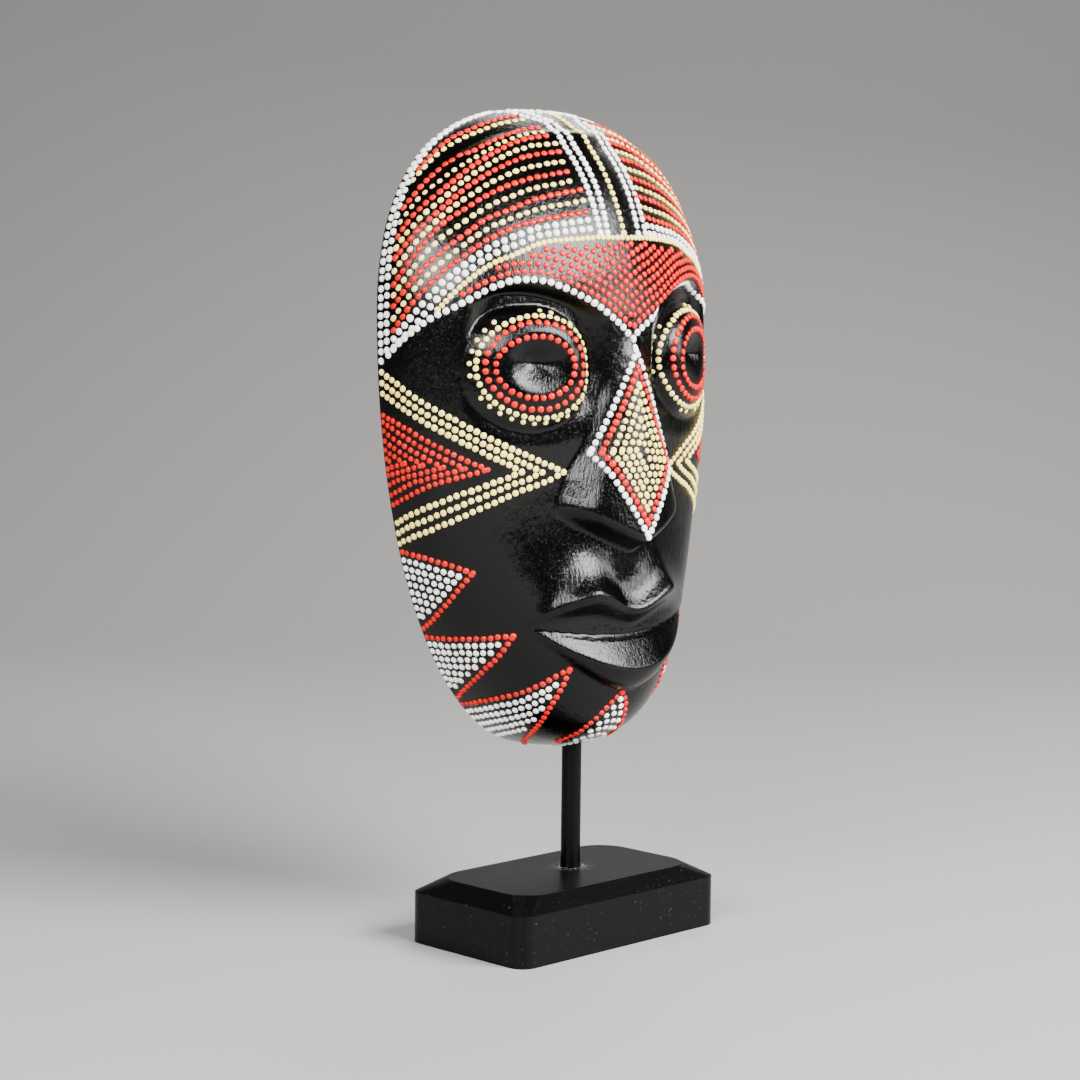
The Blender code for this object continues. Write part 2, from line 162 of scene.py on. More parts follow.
# mask: lengths and heights in metres, powers and shares without a unit
face = {
    # outline, lean and plain form; the stations run from the chin to the crown
    "rimPlaneY": 0.025, "edgeRound": 0.0009, "middleZ": 0.2857, "halfWidth": 0.0948,
    "above": 0.1024, "below": 0.1990, "squareAbove": 2.50, "squareBelow": 2.12,
    "lean": math.radians(1.7), "pivotZ": 0.084,
    "stationZ": [0.084, 0.110, 0.150, 0.200, 0.250, 0.300, 0.345, 0.388],
    "stationDepth": [0.0800, 0.0722, 0.0668, 0.0660, 0.0669, 0.0689, 0.0699, 0.0704],
    "stationFullness": [2.30, 2.17, 2.10, 2.08, 2.00, 1.87, 1.49, 1.05],
    "chinPower": 9, "fullDepth": 0.070, "carvingFade": 0.012,
    # brow, the sunk field under it and the eye
    "browApexX": 0.053, "browApexZ": 0.3075, "browInnerDrop": 0.026, "browOuterDrop": 0.034,
    "browInnerPower": 1.9, "browOuterPower": 2.5,
    "socketX": 0.0455, "socketZ": 0.2680, "socketWidth": 0.0310, "socketSquare": 2.8,
    "socketLow": 0.0330, "socketHigh": 0.0520, "socketDepth": 0.0090, "socketEdge": 0.0050,
    "socketFlat": 0.70, "socketRim": 1.08, "socketShallow": 0.25, "socketFromZ": [0.240, 0.275],
    "eyeX": 0.0495, "eyeZ": 0.2690, "eyeWidth": 0.0285, "eyeHigh": 0.0278, "eyeHeight": 0.0042,
    "eyeSquare": 2.2, "eyePower": 3.0, "eyeRoll": 0.96, "eyeTilt": 0.060,
    "eyeRiseLeft": 0.0015, "eyeRiseFrom": [0.005, 0.030],
    "dishUp": 0.0030, "dishReach": 0.60, "dishDepth": 0.0080, "dishPower": 0.8,
    # nose
    "noseZ": [0.196, 0.206, 0.219, 0.240, 0.283], "noseWidth": [0.0380, 0.0370, 0.0335, 0.0235, 0.0055],
    "frontZ": [0.206, 0.226, 0.245, 0.283], "noseFront": [0.66, 0.58, 0.45, 0.42],
    "noseShoulder": 0.20, "noseShoulderPower": 1.7, "noseBlend": 22.0,
    "noseRootZ": 0.283, "rootEdge": 0.018, "rootShare": 0.44,
    "noseTipZ": 0.1875, "noseTipHeight": 0.0125, "noseRidgePower": 0.6,
    "noseEdge": 0.0065, "noseEdgeRise": 0.0190, "noseEdgeReach": 0.038, "noseEdgePower": 1.25,
    "noseEdgeShare": 0.45, "noseEdgeFade": 1.9,
    # cheeks, crests over the mouth, lips
    "cheekDepth": 0.0050, "cheekX": 0.0380, "cheekZ": 0.2080, "cheekWidth": 0.0330, "cheekHigh": 0.0400,
    "cheekFall": 1.6, "cheekPower": 1.5,
    "crestRightX": -0.0250, "crestLeftX": 0.0215, "crestInRight": 0.0150, "crestInLeft": 0.0200,
    "crestOut": 0.0140, "crestPowerRight": 1.8, "crestPowerLeft": 1.4, "crestHeight": 0.0112,
    "crestNarrowing": 0.45, "crestLowZ": 0.147, "crestHighZ": 0.189,
    "mouthWidth": 0.0490, "mouthPower": 2.4, "peakX": 0.0240, "peakZ": 0.1665, "dipZ": 0.1572,
    "cornerZ": 0.1530, "cornerPower": 1.6, "lipGap": 0.001,
    "lipHeight": 0.0036, "lipRoll": 0.0050, "lipRollPower": 1.5, "tuckRun": [-0.04, 0.62],
    "slitZ": 0.1447, "slitRise": 0.0063, "slitDepth": 0.0014, "slitShare": 0.05,
    "lowerLipZ": 0.1190, "lowerLipRise": 0.0325, "lowerLipPower": 1.7,
    "lipFacet": 0.0084, "facetShare": 0.58, "facetSpread": 0.30,
    "lipFront": 0.0092, "lipFrontPower": 3.2, "lipFrontRound": 0.55, "lipBlend": 1800.0,
    # crease round the crown
    "creaseAt": 0.887, "creaseRise": 0.080, "creaseReach": 0.085, "creasePower": 1.5,
    "creaseRun": 0.08, "creaseStep": 0.012, "creaseHeight": 0.0022, "creaseFromZ": [0.315, 0.350],
    # hollow back and the rod's hole
    "rimWall": 0.0123, "crownWall": 0.0134, "chinWall": 0.0440, "hollowDepth": 0.0479,
    "hollowFullness": 2.3, "holeRadius": 0.0050, "holeTop": 0.1143, "holeFromZ": 0.070, "holeSides": 48,
    # mesh
    "rows": 300, "columns": 260, "hollowColumns": 40, "rowBunch": 0.35, "easingSteps": 4,
}


def throughStations(z, values):
    # cubic through the values at the stations, with the slope of the neighbouring values at each
    stations = np.array(face["stationZ"])
    values = np.array(values)
    z = np.clip(z, stations[0], stations[-1])
    i = np.clip(np.searchsorted(stations, z) - 1, 0, len(stations) - 2)
    gap = stations[i + 1] - stations[i]
    t = (z - stations[i]) / gap
    slope = np.gradient(values, stations)
    start = (2 * t**3 - 3 * t**2 + 1) * values[i] + (t**3 - 2 * t**2 + t) * gap * slope[i]
    return start + (-2 * t**3 + 3 * t**2) * values[i + 1] + (t**3 - t**2) * gap * slope[i + 1]


def halfWidthAt(z, inset=0.0, above=0.0, below=0.0):
    # half of an egg of two superellipses that meet at the widest height: the half width there times
    # the root of 1 less the share of the reach to the power, the root of the same power
    up = z > face["middleZ"]
    power = np.where(up, face["squareAbove"], face["squareBelow"])
    reach = np.where(up, face["above"] - above, face["below"] - below)
    rest = np.clip(1.0 - (np.abs(z - face["middleZ"]) / reach) ** power, 0.0, 1.0)
    return (face["halfWidth"] - inset) * rest ** (1.0 / power)


def plainDepth(x, z):
    # depth of the form without carving: the station's depth, closed to the crown as a quarter of an
    # ellipse and to the chin as a fuller one, across as the root of 1 less the share of the half
    # width to the station's fullness
    rise = np.clip((z - face["middleZ"]) / face["above"], 0.0, 1.0)
    fall = np.clip((face["middleZ"] - z) / face["below"], 0.0, 1.0)
    closing = np.sqrt(np.clip(1.0 - rise**2 - fall ** face["chinPower"], 0.0, 1.0))
    across = np.clip(np.abs(x) / np.maximum(halfWidthAt(z), 1e-9), 0.0, 1.0)
    fullness = throughStations(z, face["stationFullness"])
    section = np.sqrt(np.clip(1.0 - across**fullness, 0.0, 1.0))
    return throughStations(z, face["stationDepth"]) * closing * section


def browLine(side):
    # height of the brow: an apex that falls to each side by a power of the distance
    apex = face["browApexX"]
    inner = np.clip((apex - side) / apex, 0.0, 1.0) ** face["browInnerPower"]
    outer = np.clip((side - apex) / (face["halfWidth"] - apex), 0.0, 1.0) ** face["browOuterPower"]
    return face["browApexZ"] - face["browInnerDrop"] * inner - face["browOuterDrop"] * outer


def lowerOf(first, second, blend):
    # the lower of two heights with the corner between them eased: the log of the sum of both
    # exponentials of the negative, over the blend
    return -np.log(np.exp(-blend * first) + np.exp(-blend * second)) / blend


def carving(x, z):
    # height of the carving off the plain form, feature by feature
    side = np.abs(x)
    rise = np.where(x > 0.0, face["eyeRiseLeft"], 0.0) * smooth(*face["eyeRiseFrom"], side)

    # hollow of the cheek: a bell over an ellipse
    hollow = ((side - face["cheekX"]) / face["cheekWidth"]) ** 2
    hollow = hollow + ((z - face["cheekZ"]) / face["cheekHigh"]) ** 2
    height = -face["cheekDepth"] * np.exp(-face["cheekFall"] * hollow ** face["cheekPower"])

    # crease round the crown: a slow rise and a quick fall along a line like the outline's
    power = face["squareAbove"]
    spread = (side / face["halfWidth"]) ** power
    spread = spread + np.clip((z - face["middleZ"]) / face["above"], 0.0, 1.0) ** power
    drawnIn = face["creaseRise"] * (side / face["creaseReach"]) ** face["creasePower"]
    spread = spread ** (1.0 / power) - face["creaseAt"] - drawnIn
    crease = smooth(-face["creaseRun"], 0.0, spread) - smooth(0.0, face["creaseStep"], spread)
    height = height + face["creaseHeight"] * crease * smooth(*face["creaseFromZ"], z)

    # sunk field under the brow: flat in a superellipse, cut off along the brow, shallower below
    zEye = z - rise
    tall = np.where(zEye > face["socketZ"], face["socketHigh"], face["socketLow"])
    power = face["socketSquare"]
    field = (np.abs(side - face["socketX"]) / face["socketWidth"]) ** power
    field = (field + (np.abs(zEye - face["socketZ"]) / tall) ** power) ** (1.0 / power)
    sink = 1.0 - smooth(face["socketFlat"], face["socketRim"], field)
    sink = sink * smooth(0.0, face["socketEdge"], browLine(side) - zEye)
    shallow = face["socketShallow"]
    sink = sink * (shallow + (1.0 - shallow) * smooth(*face["socketFromZ"], z))
    height = height - face["socketDepth"] * sink

    # eye: a raised round that rolls over at its edge, dished in the middle
    power = face["eyeSquare"]
    eye = (np.abs(side - face["eyeX"]) / face["eyeWidth"]) ** power
    eye = (eye + (np.abs(zEye - face["eyeZ"]) / face["eyeHigh"]) ** power) ** (1.0 / power)
    foot = math.sqrt(1.0 - face["eyeRoll"] ** face["eyePower"])
    ball = np.sqrt(1.0 - (face["eyeRoll"] * np.clip(eye, 0.0, 1.0)) ** face["eyePower"])
    ball = (ball - foot) / (1.0 - foot)
    bowl = np.sqrt(((side - face["eyeX"]) / face["eyeWidth"]) ** 2
                   + ((zEye - face["eyeZ"] - face["dishUp"] * (1.0 - eye)) / face["eyeHigh"]) ** 2)
    dish = face["dishDepth"] * (1.0 - smooth(0.0, face["dishReach"], bowl) ** face["dishPower"])
    top = face["eyeHeight"] + face["eyeTilt"] * (face["eyeX"] - side) - dish
    height = height + ball * (top - height)

    # nose: a broad front between two flat flanks, cut off below along a shallow vee
    width = np.interp(z, face["noseZ"], face["noseWidth"])
    ridge = np.clip((face["noseRootZ"] - z) / (face["noseRootZ"] - face["noseTipZ"]), 0.0, 1.0)
    ridge = ridge ** face["noseRidgePower"]
    t = np.clip(side / width, 0.0, 1.0)
    front = np.interp(z, face["frontZ"], face["noseFront"])
    frontPart = 1.0 - face["noseShoulder"] * (t / front) ** face["noseShoulderPower"]
    flank = (1.0 - face["noseShoulder"]) * (1.0 - t) / (1.0 - front)
    section = np.clip(lowerOf(frontPart, flank, face["noseBlend"]), 0.0, 1.0)
    nose = (face["noseTipHeight"] * ridge - height) * section
    lowEdge = face["noseEdgeRise"] * (side / face["noseEdgeReach"]) ** face["noseEdgePower"]
    lowEdge = face["noseTipZ"] + lowEdge
    aboveEdge = np.clip((z - lowEdge) / face["noseEdge"] + face["noseEdgeShare"], 0.0, 1.0)
    aboveEdge = 1.0 - (1.0 - aboveEdge) ** face["noseEdgeFade"]
    begin = smooth(-face["rootShare"] * face["rootEdge"], (1.0 - face["rootShare"]) * face["rootEdge"],
                   face["noseRootZ"] - z)
    height = height + nose * aboveEdge * begin

    # two crests from the lip up to the nose, narrower upwards, a wide groove between them
    upward = np.clip((z - face["crestLowZ"]) / (face["crestHighZ"] - face["crestLowZ"]), 0.0, 1.0)
    narrowed = 1.0 - face["crestNarrowing"] * upward
    spreadRight = narrowed * np.where(x > face["crestRightX"], face["crestInRight"], face["crestOut"])
    spreadLeft = narrowed * np.where(x < face["crestLeftX"], face["crestInLeft"], face["crestOut"])
    crestRight = np.exp(-(np.abs(x - face["crestRightX"]) / spreadRight) ** face["crestPowerRight"])
    crestLeft = np.exp(-(np.abs(x - face["crestLeftX"]) / spreadLeft) ** face["crestPowerLeft"])
    crest = np.maximum(crestRight, crestLeft)
    crest = crest * (1.0 - smooth(0.0, 1.0, upward)) * (1.0 - aboveEdge)

    # upper lip: rolls up to a crisp edge and draws in below it
    reach = np.clip(1.0 - (side / face["mouthWidth"]) ** face["mouthPower"], 0.0, 1.0)
    corner = np.clip((side - face["peakX"]) / (face["mouthWidth"] - face["peakX"]), 0.0, 1.0)
    corner = corner ** face["cornerPower"]
    upper = face["dipZ"] + (face["peakZ"] - face["dipZ"]) * smooth(0.0, face["peakX"], side)
    upper = upper - (face["peakZ"] - face["cornerZ"]) * corner
    slit = face["slitZ"] + face["slitRise"] * (side / face["mouthWidth"]) ** 2
    upper = np.maximum(upper, slit + face["lipGap"])
    rollUp = np.exp(-np.clip((z - upper) / face["lipRoll"], 0.0, 9.0) ** face["lipRollPower"])
    edgeHeight = face["crestHeight"] * crest + face["lipHeight"] * rollUp * reach
    tuck = smooth(*face["tuckRun"], np.clip((upper - z) / (upper - slit), 0.0, 1.0))
    tuck = np.where(z > upper, 0.0, tuck)
    inside = -face["slitDepth"] * reach
    topLip = edgeHeight + (inside - edgeHeight) * tuck

    # lower lip: a flat facet that rises from the slit, then a round front down to the chin
    away = np.clip(side / face["mouthWidth"], 0.0, 1.0)
    lower = face["lowerLipZ"] + face["lowerLipRise"] * away ** face["lowerLipPower"]
    lower = np.minimum(lower, slit - face["lipGap"])
    share = np.clip((slit - z) / (slit - lower), 0.0, 1.0)
    facet = face["lipFacet"] * share / (face["facetShare"] + face["facetSpread"] * away**2)
    under = np.clip(1.0 - share ** face["lipFrontPower"], 0.0, 1.0) ** face["lipFrontRound"]
    lowLip = lowerOf(facet, face["lipFront"] * under, face["lipBlend"])
    lowLip = np.where(share < 1.0, np.maximum(lowLip, 0.0), 0.0)
    lowLip = (lowLip - face["slitDepth"] * (1.0 - smooth(0.0, face["slitShare"], share))) * reach
    return height + np.where(z > slit, topLip, lowLip)


def faceDepth(x, z):
    # plain form plus the carving faded out to the rim, over the depth of the eased edge
    plain = plainDepth(x, z)
    depth = plain + carving(x, z) * smooth(0.0, face["carvingFade"], plain)
    return face["edgeRound"] + depth * (1.0 - face["edgeRound"] / face["fullDepth"])


def leaned(x, y, z):
    # the point turned by the lean about an axis along Y at the pivot's height
    c = math.cos(face["lean"])
    s = math.sin(face["lean"])
    up = z - face["pivotZ"]
    return np.stack([c * x - s * up, y, s * x + c * up + face["pivotZ"]], axis=-1)


def facePoint(turn, z):
    # point of the face: turn runs from -90 to 90 degrees across the row at height z
    x = halfWidthAt(z) * np.sin(turn)
    return leaned(x, face["rimPlaneY"] - faceDepth(x, z), z)


def gridFaces(rowCount, columnCount, first, flip=False):
    # quads of a grid of points stored row after row, from the index first
    r, c = np.meshgrid(np.arange(rowCount - 1), np.arange(columnCount - 1), indexing="ij")
    a = first + (r * columnCount + c).ravel()
    faces = np.stack([a, a + 1, a + 1 + columnCount, a + columnCount], axis=-1)
    return faces[:, ::-1] if flip else faces


def ringLoop(rowCount, columnCount, first, bottom, top):
    # indices round the edge of a grid: the end below, one side up, the end above, the other side down
    left = first + np.arange(rowCount) * columnCount
    return np.concatenate([[bottom], left, [top], (left + columnCount - 1)[::-1]])


# rows bunch at both ends, where the outline closes
angle = np.linspace(-0.5 * math.pi, 0.5 * math.pi, face["rows"] + 1)
share = np.linspace(-1.0, 1.0, face["rows"] + 1)
reachAt = np.where(angle > 0.0, face["above"], face["below"])
bottomZ = face["middleZ"] - face["below"]
evenZ = bottomZ + (share + 1.0) * 0.5 * (face["above"] + face["below"])
rowZ = face["rowBunch"] * (face["middleZ"] + reachAt * np.sin(angle)) + (1.0 - face["rowBunch"]) * evenZ
rowZ[0] = bottomZ
rowZ[-1] = face["middleZ"] + face["above"]
inner = rowZ[1:-1]
turn = np.linspace(-0.5 * math.pi, 0.5 * math.pi, face["columns"] + 1)
front = facePoint(turn[None, :], inner[:, None])
endY = face["rimPlaneY"] - face["edgeRound"]
frontEnds = leaned(np.zeros(2), np.full(2, endY), rowZ[[0, -1]])

# hollow back: the same rows brought closer, a section like the outline's
hollowAbove = face["above"] - face["crownWall"]
hollowBelow = face["below"] - face["chinWall"]
scaleZ = np.where(rowZ > face["middleZ"], hollowAbove / face["above"], hollowBelow / face["below"])
hollowZ = face["middleZ"] + (rowZ - face["middleZ"]) * scaleZ
hz = hollowZ[1:-1, None]
hollowTurn = np.linspace(-0.5 * math.pi, 0.5 * math.pi, face["hollowColumns"] + 1)[None, :]
hollowWide = halfWidthAt(hz, face["rimWall"], face["crownWall"], face["chinWall"])
hx = hollowWide * np.sin(hollowTurn)
hollowReach = np.where(hz > face["middleZ"], hollowAbove, hollowBelow)
along = np.clip(np.abs(hz - face["middleZ"]) / hollowReach, 0.0, 1.0)
sectionShare = np.clip(1.0 - np.abs(np.sin(hollowTurn)) ** face["hollowFullness"], 0.0, 1.0)
hy = face["hollowDepth"] * np.sqrt(np.clip(1.0 - along ** face["hollowFullness"], 0.0, 1.0) * sectionShare)
hollowBack = leaned(hx, face["rimPlaneY"] - face["edgeRound"] - hy, hz + 0.0 * hx)
hollowEnds = leaned(np.zeros(2), np.full(2, endY), hollowZ[[0, -1]])

rowCount = len(inner)
columnCount = face["columns"] + 1
hollowCount = face["hollowColumns"] + 1
points = [front.reshape(-1, 3), frontEnds, hollowBack.reshape(-1, 3), hollowEnds]
start = np.cumsum([0] + [len(p) for p in points])
frontLoop = ringLoop(rowCount, columnCount, 0, start[1], start[1] + 1)
hollowLoop = ringLoop(rowCount, hollowCount, start[2], start[3], start[3] + 1)
allPoints = np.concatenate(points)
quads = [gridFaces(rowCount, columnCount, 0), gridFaces(rowCount, hollowCount, start[2], True)]

# ends of both grids
triangles = []
for first, count, low, flip in ((0, columnCount, start[1], False), (start[2], hollowCount, start[3], True)):
    c = np.arange(count - 1)
    under = np.stack([np.full(count - 1, low), first + c + 1, first + c], axis=-1)
    lastRow = first + (rowCount - 1) * count
    over = np.stack([np.full(count - 1, low + 1), lastRow + c, lastRow + c + 1], axis=-1)
    for fan in (under, over):
        triangles.append(fan[:, ::-1] if flip else fan)

# flat rim between them, its two edges eased by a quarter round
outer = allPoints[frontLoop]
innerEdge = allPoints[hollowLoop]
toward = innerEdge - outer
toward = toward / np.linalg.norm(toward, axis=1)[:, None]
loops = [frontLoop]
extra = []
nextIndex = len(allPoints)
easing = np.linspace(0.0, 0.5 * math.pi, face["easingSteps"] + 1)[1:]
toward = toward * face["edgeRound"]
back = np.array([0.0, 1.0, 0.0]) * face["edgeRound"]
rings = [outer + toward * (1.0 - math.cos(a)) + back * math.sin(a) for a in easing]
rings += [innerEdge - toward * (1.0 - math.cos(a)) + back * math.sin(a) for a in easing[::-1]]
for ring in rings:
    extra.append(ring)
    loops.append(np.arange(nextIndex, nextIndex + len(ring)))
    nextIndex += len(ring)
loops.append(hollowLoop)
for near, far in zip(loops[:-1], loops[1:]):
    quads.append(np.stack([near, far, np.roll(far, -1), np.roll(near, -1)], axis=-1))
maskPiece = makePiece("mask_wood", np.concatenate([allPoints] + extra), quads + triangles)

# upright hole in the chin for the rod
bpy.ops.mesh.primitive_cylinder_add(vertices=face["holeSides"], radius=face["holeRadius"],
                                    depth=face["holeTop"] - face["holeFromZ"],
                                    location=(0.0, 0.0, 0.5 * (face["holeTop"] + face["holeFromZ"])))
drill = bpy.context.object
cut = maskPiece.modifiers.new("rod_hole", "BOOLEAN")
cut.operation = "DIFFERENCE"
cut.solver = "EXACT"
cut.object = drill
depsgraph = bpy.context.evaluated_depsgraph_get()
drilled = bpy.data.meshes.new_from_object(maskPiece.evaluated_get(depsgraph))
maskPiece.modifiers.clear()
maskPiece.data = drilled
bpy.data.objects.remove(drill, do_unlink=True)
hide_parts("mask")
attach(maskPiece, "root")
print("mask", len(maskPiece.data.polygons))

# raised dots: every row is a curve through a few points given as (turn in degrees, height in mm)
dots = {"white": [], "cream": [], "red": []}
dotMake = {
    "seed": 11, "drift": 0.00010, "sway": 0.10, "sizeSpread": 0.035, "outOfRound": 0.03, "sides": 10,
    "profile": [(1.0, -0.30), (1.0, 0.05), (0.94, 0.27), (0.76, 0.46), (0.46, 0.58)], "tip": 0.62,
}
dotRandom = np.random.default_rng(dotMake["seed"])


def throughPoints(points, steps=40):
    # Catmull-Rom curve through the points
    p = np.array(points, float)
    p = np.concatenate([2 * p[:1] - p[1:2], p, 2 * p[-1:] - p[-2:-1]])
    t = np.linspace(0.0, 1.0, steps, endpoint=False)[:, None]
    out = []
    for a, b, c, d in zip(p[:-3], p[1:-2], p[2:-1], p[3:]):
        out.append(0.5 * (2 * b + (c - a) * t + (2 * a - 5 * b + 4 * c - d) * t**2
                          + (3 * b - a - 3 * c + d) * t**3))
    return np.concatenate(out + [p[-2:-1]])


def toTurn(points):
    # points given as (x, height) in mm to (turn in degrees, height)
    p = np.array(points, float)
    across = np.clip(p[:, 0] * 0.001 / np.maximum(halfWidthAt(p[:, 1] * 0.001), 1e-6), -0.999, 0.999)
    return np.stack([np.degrees(np.arcsin(across)), p[:, 1]], axis=-1)


def addRow(colour, curve, spacing, size, keep=None, stretch=1.0, closed=False):
    # dots at even distances along the surface, spacing and size in mm; keep is a test of (turn, height)
    place = facePoint(np.radians(curve[:, 0]), curve[:, 1] * 0.001)
    length = np.concatenate([[0.0], np.cumsum(np.linalg.norm(np.diff(place, axis=0), axis=1))])
    count = max(int(round(length[-1] / (spacing * 0.001))), 1)
    at = np.linspace(0.0, length[-1], count + 1)
    if closed:
        at = at[:-1]
    at = at + dotRandom.normal(0.0, dotMake["drift"], len(at))
    u = np.interp(at, length, curve[:, 0])
    z = np.interp(at, length, curve[:, 1]) + dotRandom.normal(0.0, dotMake["sway"], len(at))
    probe = 0.0005    # half a millimetre each way gives the row's direction
    du = np.interp(at + probe, length, curve[:, 0]) - np.interp(at - probe, length, curve[:, 0])
    dz = np.interp(at + probe, length, curve[:, 1]) - np.interp(at - probe, length, curve[:, 1])
    wide = size * (1.0 + dotRandom.normal(0.0, dotMake["sizeSpread"], len(at)))
    row = np.stack([u, z, du, dz, wide, np.full(len(at), stretch)], axis=-1)
    if keep is not None:
        row = row[keep(u, z)]
    dots[colour].append(row)


def mirrored(curve, drop, grow=1.0, about=0.0):
    # mirror image of a row: lower by drop mm from 12 degrees on, heights spread about a height by grow
    lower = drop * smooth(0.0, 12.0, np.abs(curve[:, 0]))
    return np.stack([-curve[:, 0], about + (curve[:, 1] - about) * grow - lower], axis=-1)


def addBoth(colour, curve, spacing, drop=0.0, grow=1.0, about=0.0, **more):
    # the row and its mirror image
    addRow(colour, curve, spacing, **more)
    addRow(colour, mirrored(curve, drop, grow, about), spacing, **more)


# forehead bands: the cream line, then red rows at the stations with a cream row between each two
stations = np.array([-12.0, -27.0, -36.0, -45.0, -54.0, -63.0, -72.0, -81.0])
bands = {
    "creamLine": [327.1, 325.0, 320.2, 315.0, 306.5, 295.5, 283.0, 275.0],
    "lineStart": [(-1.0, 327.3), (-6.0, 327.3)], "lineStations": 6,
    "red": [[339.0, 335.3, 332.0, 326.6, 318.8, 310.0, 299.2, 286.5],
            [349.0, 345.0, 340.5, 335.8, 328.0, 319.5, 309.5, 297.2],
            [358.0, 354.5, 351.3, 346.2, 339.5, 332.0, 320.0, 307.0],
            [367.2, 364.9, 361.4, 356.0, 349.0, 340.2, 331.0, 318.5],
            [375.2, 373.2, 370.3, 365.0, 358.2, 350.0, 342.0, 328.3],
            [379.0, 377.8, 375.4, 372.2, 367.2, 362.7, 353.5, 341.5],
            [385.0, 384.9, 384.4, 383.3, 380.9, 377.0, 372.3, 359.0]],
    "creamShare": [0.50, 0.50, 0.50, 0.50, 0.50, 0.70], "creamSize": [2.6, 2.6, 2.6, 2.6, 2.2, 2.6],
    "whiteFrom": 60.0, "whiteEnds": [69.0, 84.0], "innerX": 17.0, "endTurn": 81.5, "drop": 2.0,
}


def bandCurve(heights):
    # row through one height at each station
    return throughPoints(np.stack([stations, heights], axis=-1))


def inBand(u, z):
    # between the columns in the middle and the rim
    x = halfWidthAt(z * 0.001) * np.sin(np.radians(u)) * 1000.0
    return (np.abs(x) > bands["innerX"]) & (np.abs(u) < bands["endTurn"])


def inWhite(u, z, end):
    # in the band, and past it out to the end
    return inBand(u, z) | ((np.abs(u) > bands["whiteFrom"]) & (np.abs(u) < end))


creamLine = np.array(bands["creamLine"])
redRows = np.array(bands["red"])
lineStart = np.stack([stations, creamLine], axis=-1)[:bands["lineStations"]]
lineStart = np.concatenate([bands["lineStart"], lineStart])
addBoth("cream", throughPoints(lineStart), spacing=2.75, size=2.7)
for third, end in zip((1, 2), bands["whiteEnds"]):
    heights = creamLine + (redRows[0] - creamLine) * third / 3.0
    addBoth("white", bandCurve(heights), spacing=4.3, size=3.25, drop=bands["drop"],
            keep=lambda u, z: inWhite(u, z, end))
for k, heights in enumerate(redRows):
    addBoth("red", bandCurve(heights), spacing=3.95, size=2.85, stretch=1.22,
            drop=bands["drop"], keep=inBand)
    if k + 1 < len(redRows):
        between = heights + bands["creamShare"][k] * (redRows[k + 1] - heights)
        addBoth("cream", bandCurve(between), spacing=4.2, size=bands["creamSize"][k], stretch=1.2,
                drop=bands["drop"], keep=inBand)

# columns up the middle of the forehead: x at the foot and from the spread's height on, in mm
columns = {"lowZ": 329.5, "spreadZ": 350.0, "highZ": 387.6, "endTurn": 62.0,
           "cream": [(0.0, 0.0)], "white": [(-9.5, -8.0), (-13.5, -13.0), (10.0, 11.5), (15.5, 17.0)],
           "size": {"cream": 2.9, "white": 3.1}}
columnZ = np.linspace(columns["lowZ"], columns["highZ"], 12)
for colour, size in columns["size"].items():
    for lowX, highX in columns[colour]:
        x = np.interp(columnZ, [columns["lowZ"], columns["spreadZ"]], [lowX, highX])
        column = toTurn(np.stack([x, columnZ], axis=-1))
        column = column[np.abs(column[:, 0]) < columns["endTurn"]]
        addRow(colour, throughPoints(column), spacing=3.3, size=size)

# double white border along the rim, from the end of the brow over the top to the other end:
# rows of (turn at the end of the brow, its height, height at the top)
border = {"rows": [(88.0, 272.5, 387.6), (84.6, 277.5, 386.6)], "bendZ": 372.0, "crownZ": 388.0,
          "turnIn": (0.0, 1.0, 6.0)}
for turnAt, lowZ, topZ in border["rows"]:
    edge = np.linspace(lowZ, border["bendZ"], 16)
    edge = np.concatenate([edge, np.linspace(border["bendZ"], topZ, 10)[1:]])
    turns = turnAt - np.array(border["turnIn"])
    edgeTurn = np.interp(edge, [lowZ, border["bendZ"], border["crownZ"]], turns)
    half = np.stack([-edgeTurn, edge], axis=-1)
    whole = np.concatenate([half, half[::-1] * np.array([-1.0, 1.0])])
    addRow("white", throughPoints(whole, 12), spacing=4.1, size=3.3)

# brow: white arc on each side, red rows filling the field up to the cream line
brow = {
    "arc": [(0, 281.5), (-8.4, 288.5), (-18, 295.4), (-29, 301.5), (-39.5, 306.3), (-47, 308.2),
            (-54, 308.6), (-60.5, 307.3), (-67, 304.6), (-72.5, 301.3), (-78, 297.5)],    # x and height
    "arcEnd": [(-60.0, 295.0), (-65.3, 292.0), (-70.3, 287.7), (-75.5, 283.6), (-80.5, 279.0),
               (-84.0, 275.5)],                                                           # turn and height
    "drop": 2.2, "rowGap": 3.6, "rows": 12, "mmPerDegree": 1.6, "underLine": 2.6, "endTurn": 62.0,
    "openFrom": -0.6, "closingSlope": 0.5,
}
arcCurve = throughPoints(np.concatenate([toTurn(brow["arc"]), brow["arcEnd"]]))
addBoth("white", arcCurve, spacing=3.9, size=3.3, drop=brow["drop"])


def underLine(u, z):
    # below the cream line and clear of the brow's end
    line = np.interp(-np.abs(u), lineStart[::-1, 0], lineStart[::-1, 1])
    return (z < line - brow["underLine"]) & (np.abs(u) < brow["endTurn"])


